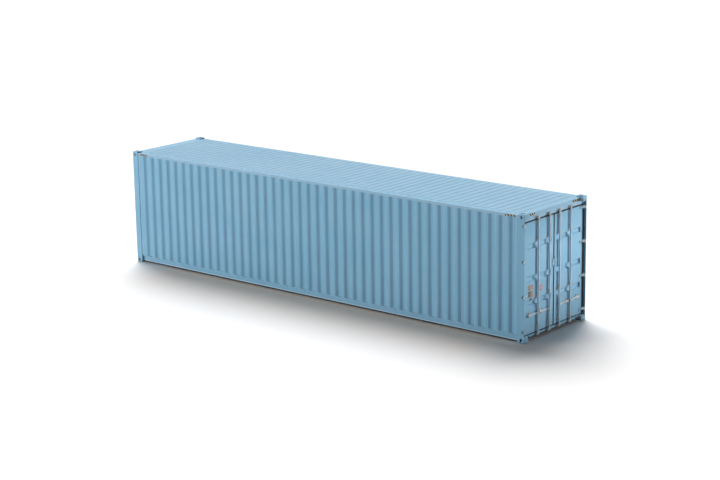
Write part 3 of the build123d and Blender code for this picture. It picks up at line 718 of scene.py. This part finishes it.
def makePlateFinish(name, colour, values):
    # bare plate: broad stains, fine scratches drawn out sideways and a dull rolled skin
    finish, tree, surface = newFinish(name)
    coords, _ = objectPlaces(tree)
    stain = patchOf(tree, coords, **values["stains"])
    tone = mixOf(tree, mathOf(tree, "MULTIPLY", stain, values["stainShare"]), colour, values["weathered"])
    scratch = patchOf(tree, coords, **values["scratches"])
    tone = mixOf(tree, scratch, tone, tuple(min(1.0, part * values["scratchBright"]) for part in colour))
    gloss = rampOf(tree, stain, 0.0, 1.0, *values["roughness"])
    bump = bumpOf(tree, scratch, *values["scratchBump"])
    looks = {"Base Color": tone, "Metallic": values["metal"], "Roughness": gloss, "Normal": bump}
    setSockets(tree, surface, looks)
    return finish


def makeDoorPlates(values):
    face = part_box("left_door_frame")[1][0]
    rivet = turnedHead(values["rivet"], values["rivetSteps"])
    for tone, places in values["places"].items():
        grids = []
        for across, height, wide, tall in places:
            slab = softSlab(wide, tall, values["thick"], values["edge"])
            grids.append(placed(slab, "door", [(face, across, height)]))
            acrosses, heights = (
                [middle + end * (size / 2 - values["inset"]) for end in ends]
                for middle, size in ((across, wide), (height, tall))
            )
            spots = [(face + values["thick"], y, z) for y in acrosses for z in heights]
            grids.append(placed(rivet, "door", spots))
        finish = makePlateFinish(tone + "Plate", values[tone], values)
        makePiece(f"door_plates_{tone}", grids, finish, "left_door")


makeDoorPlates(doorPlates)
print("door plates made")

# hexagon heads on washers: rod guides, handle rests, hinge straps and seal plates of each leaf
boltHead = {
    "rings": (  # out, radius, corners
        (0.0, 0.0118, 0), (0.0016, 0.0118, 0), (0.0016, 0.0085, 6),
        (0.0060, 0.0085, 6), (0.0070, 0.00697, 0), (0.0070, 0.0, 0),
    ),
    "steps": 24,
    "guideReach": 0.035,
    "restReach": (0.027, 0.046),
    "strapPlaces": (0.032, 0.074),
    "guideThick": 0.005,
    "strapThick": 0.012,
    "plateInset": 0.020,
    "plateReach": 0.030,
}


def makeBolts(values):
    head = turnedHead(values["rings"], values["steps"])
    for side, sign in sides:
        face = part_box(f"{side}_door_frame")[1][0]
        guides, rests, hinges = (f"{side}_{name}" for name in ("rod_guides", "handle_rests", "door_hinges"))
        spots = [
            (face + values["guideThick"], across + end * values["guideReach"], height)
            for across in middlesAlong(guides, 1) for height in middlesAlong(guides, 2) for end in ends
        ]
        strapEnd = min(abs(corner[1]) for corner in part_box(hinges))
        spots += [
            (face + values["strapThick"], sign * (strapEnd + place), height)
            for height in middlesAlong(hinges, 2) for place in values["strapPlaces"]
        ]
        low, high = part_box(f"{side}_seal_plate")
        edge = max(abs(low[1]), abs(high[1])) - values["plateInset"]
        middle = (low[2] + high[2]) / 2
        spots += [(high[0], sign * edge, middle + end * values["plateReach"]) for end in ends]
        grids = [placed(head, "door", spots)]
        makePiece(f"{side}_door_bolts", grids, finishes["zinc"], f"{side}_door")
        reachAcross, reachUp = values["restReach"]
        acrosses = [middle + end * reachAcross for middle in middlesAlong(rests, 1) for end in ends]
        heights = [middle + end * reachUp for middle in middlesAlong(rests, 2) for end in ends]
        spots = [(face + values["guideThick"], across, height) for across in acrosses for height in heights]
        grids = [placed(head, "door", spots)]
        makePiece(f"{side}_rest_bolts", grids, finishes["oxide"], f"{side}_door")


makeBolts(boltHead)
print("bolts made")

# rubber lips of the door seals: flat black strips beside each leaf's hinge edge, also laid there as painted
# shade in the gap to the post, the outer ones between the hinge lugs, and a round bulb along the leaf's other
# three edges
sealLipsAndGapShade = {
    "inner": (-0.0005, 0.041),  # reach across from the leaf's hinge edge
    "outer": (0.041, 0.068),
    "behindFace": 0.0005,
    "thick": 0.003,
    "steps": 14,
    "lugRoom": 0.053,
    "bulb": {"radius": 0.0065, "around": 8, "ripple": 0.0, "pitch": 0.06},
    "bulbInset": 0.008,
    "bulbDrop": 0.014,
    "bulbSide": 0.016,
}


def lipStrip(near, far, out, low, high, values):
    # strip between two heights: a closed four-sided section (out, across) swept upwards
    back, steps = out - values["thick"], values["steps"]
    section = np.array(((back, near), (back, far), (out, far), (out, near)))
    heights = np.linspace(low, high, steps)
    grid = np.concatenate([np.repeat(section[None], steps, 0), np.repeat(heights[:, None, None], 4, 1)], -1)
    caps = [np.repeat(grid[index].mean(0)[None, None], 4, 1) for index in (0, -1)]
    return np.concatenate([caps[0], grid, caps[1]])[None]


def makeSealLipsAndGapShade(values):
    for side, sign in sides:
        low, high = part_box(f"{side}_door_frame")
        edge = max(abs(low[1]), abs(high[1]))
        inner, outer = ([sign * (edge + reach) for reach in values[key]] for key in ("inner", "outer"))
        out = high[0] - values["behindFace"]
        stops = middlesAlong(f"{side}_door_hinges", 2)
        lows = [low[2]] + [stop + values["lugRoom"] for stop in stops]
        highs = [stop - values["lugRoom"] for stop in stops] + [high[2]]
        grids = [lipStrip(*inner, out, low[2], high[2], values)]
        grids += [lipStrip(*outer, out, *pair, values) for pair in zip(lows, highs)]
        gasketLow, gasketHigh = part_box(f"{side}_door_gasket")
        free = sign * (min(abs(gasketLow[1]), abs(gasketHigh[1])) + values["bulbInset"])
        held = sign * (edge + values["bulbSide"])
        foot, head = gasketLow[2] + values["bulbDrop"], gasketHigh[2] - values["bulbDrop"]
        path = [(gasketHigh[0], *spot) for spot in ((held, foot), (free, foot), (free, head), (held, head))]
        grids.append(beadAlong(path, **values["bulb"]))
        makePiece(f"{side}_seal_lips", grids, finishes["rubber"], f"{side}_door")


makeSealLipsAndGapShade(sealLipsAndGapShade)
print("seal lips made")

# weld beads: along feet and heads of the side walls, at the posts' ends and across the roof's panel joints
weldBead = {
    "wall": {"radius": 0.0030, "around": 6, "ripple": 0.15, "pitch": 0.02},
    "wallLift": 0.0005,
    "footWithin": 1e-4,
    "post": {"radius": 0.0045, "around": 8, "ripple": 0.18, "pitch": 0.012},
    "postRun": (0.176, 0.004),  # from the end of the box
    "postInset": 0.004,
    "roof": {"radius": 0.0024, "around": 6, "ripple": 0.15, "pitch": 0.03},
    "roofInset": 0.004,
    "roofLift": 0.002,
    "roofPanels": 11,
    "ribPitch": 0.209,
}


def wallLine(side, sign, within):
    # outer line of the folded wall, from its own corners at the lowest height
    spots = cornersOf(f"{side}_side_wall")
    foot = spots[spots[:, 2] < spots[:, 2].min() + within]
    alongs, group = np.unique(foot[:, 0].round(4), return_inverse=True)
    reach = np.zeros(len(alongs))
    np.maximum.at(reach, group, np.abs(foot[:, 1]))
    return np.column_stack([alongs, sign * reach])


def makeWelds(values):
    grids = []
    for side, sign in sides:
        low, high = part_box(f"{side}_side_wall")
        line = wallLine(side, sign, values["footWithin"])
        for height in (low[2] + values["wallLift"], high[2] - values["wallLift"]):
            path = np.column_stack([line, np.full(len(line), height)])
            grids.append(beadAlong(path, **values["wall"]))
    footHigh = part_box("bottom_corner_castings")[1]
    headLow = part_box("top_corner_castings")[0]
    across = footHigh[1] - values["postInset"]
    for end in ends:
        alongs = [end * (footHigh[0] - run) for run in values["postRun"]]
        for _, sign in sides:
            for height in (footHigh[2], headLow[2]):
                path = [(along, sign * across, height) for along in alongs]
                grids.append(beadAlong(path, **values["post"]))
    low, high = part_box("roof_panel")
    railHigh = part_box("top_side_rails")[1]
    across, height = railHigh[1] - values["roofInset"], railHigh[2] + values["roofLift"]
    for index in range(1, values["roofPanels"]):
        joint = low[0] + (high[0] - low[0]) * index / values["roofPanels"]
        ribs = round(joint / values["ribPitch"] - 0.5) + 0.5  # midway between two ribs
        along = ribs * values["ribPitch"]
        grids.append(beadAlong([(along, end * across, height) for end in ends], **values["roof"]))
    makePiece("weld_beads", grids, finishes["wall"], "container")


makeWelds(weldBead)
print("welds made")

# collars clamped on the lock rods above each guide
rodCollar = {
    "rings": (  # out, radius, corners
        (0.0, 0.016, 0), (0.0, 0.020, 0), (0.0025, 0.0225, 0),
        (0.0115, 0.0225, 0), (0.014, 0.020, 0), (0.014, 0.016, 0),
    ),
    "steps": 24,
    "gap": 0.004,
}


def makeCollars(values):
    ring = turnedHead(values["rings"], values["steps"])
    for side, _ in sides:
        tops = [high for _, high in spansAlong(f"{side}_rod_guides", 2)]
        acrosses = sorted(middlesAlong(f"{side}_rod_guides", 1), key=abs)
        for row, across in zip(rodRows, acrosses):
            rod = f"{side}_{row}_lock_rod"
            low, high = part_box(f"{side}_{row}_rod_cams")
            spots = [((low[0] + high[0]) / 2, across, top + values["gap"]) for top in tops[:-1]]
            grids = [placed(ring, "up", spots)]
            name = f"{side}_{row}_rod_collars"
            makePiece(name, grids, finishes["zinc"], rod, wrapRows=True)


makeCollars(rodCollar)
print("collars made")

# floor boards: two rows of thick ply sheets with narrow joints, and rows of countersunk screws across them
floorBoards = {
    "sheets": 5,
    "joint": 0.003,
    "edge": 0.0015,
    "screw": (  # out, radius, corners
        (-0.0008, 0.0065, 0), (0.0004, 0.00598, 0), (0.0004, 0.00325, 6),
        (-0.0008, 0.0026, 6), (-0.0008, 0.0, 0),
    ),
    "screwSteps": 12,
    "screwPitch": 0.300,
    "screwReach": (0.06, 0.34, 0.62, 0.90, 1.09),
}


def makeFloorBoards(values):
    low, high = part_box("plywood_floor")
    sheetLong = (high[0] - low[0]) / values["sheets"]
    slab = softSlab(sheetLong - values["joint"], high[1] - values["joint"], high[2] - low[2], values["edge"])
    middles = [low[0] + sheetLong * (index + 0.5) for index in range(values["sheets"])]
    spots = [(middle, end * high[1] / 2, low[2]) for middle in middles for end in ends]
    boards = makePiece("floor_boards", [placed(slab, "up", spots)], finishes["ply"], "container")
    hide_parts("plywood_floor")
    screw = turnedHead(values["screw"], values["screwSteps"])
    alongs = np.arange(low[0] + values["screwPitch"] / 2, high[0], values["screwPitch"])
    acrosses = [end * reach for end in ends for reach in values["screwReach"]]
    spots = [(along, across, high[2]) for along in alongs for across in acrosses]
    grids = [placed(screw, "up", spots)]
    makePiece("floor_screws", grids, finishes["zinc"], "container")


makeFloorBoards(floorBoards)
print("floor boards made")

# lashing rings: bent rods welded inside, along both top and bottom rails
lashRing = {
    "count": 10,
    "span": 0.110,
    "reach": 0.030,
    "bowSteps": 13,
    "wire": {"radius": 0.005, "around": 8, "ripple": 0.0, "pitch": 0.006},
    "endGap": 0.65,
    "topDrop": 0.030,
    "lowLift": 0.020,
}


def makeLashRings(values):
    # each bow is half an ellipse lying level: along by the cosine of the turn, inwards by its sine
    low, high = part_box("left_side_wall")
    wallFace = min(abs(low[1]), abs(high[1]))
    railFace = abs(spansAlong("top_side_rails", 1, 0.5)[0][1])
    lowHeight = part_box("plywood_floor")[1][2] + values["lowLift"]
    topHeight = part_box("top_side_rails")[0][2] + values["topDrop"]
    turn = np.linspace(0, np.pi, values["bowSteps"])
    bowAlong, bowIn = np.cos(turn) * values["span"] / 2, np.sin(turn) * values["reach"]
    grids = []
    for _, sign in sides:
        for along in np.linspace(low[0] + values["endGap"], high[0] - values["endGap"], values["count"]):
            for face, height in ((wallFace, lowHeight), (railFace, topHeight)):
                path = np.column_stack([along - bowAlong, sign * (face - bowIn), np.full(len(turn), height)])
                grids.append(beadAlong(path, **values["wire"]))
    makePiece("lashing_rings", grids, finishes["wall"], "container")


makeLashRings(lashRing)
print("lashing rings made")

# the door panel is flagged off the floor and off the side that stands next to it
lampFlags = {
    "doorFill": ("studioFloor", "right_side_wall", "top_side_rails", "bottom_side_rails", "weld_beads"),
}


def flagLamps(values):
    for lampName, names in values.items():
        flag = bpy.data.collections.new(lampName + "Flag")
        for name in names:
            flag.objects.link(nodes[name] if name in nodes else bpy.data.objects[name])
        for shaded in flag.collection_objects:
            shaded.light_linking.link_state = "EXCLUDE"
        bpy.data.objects[lampName].light_linking.receiver_collection = flag


flagLamps(lampFlags)
print("lamps flagged")

bpy.context.scene.view_settings.view_transform = "Standard"
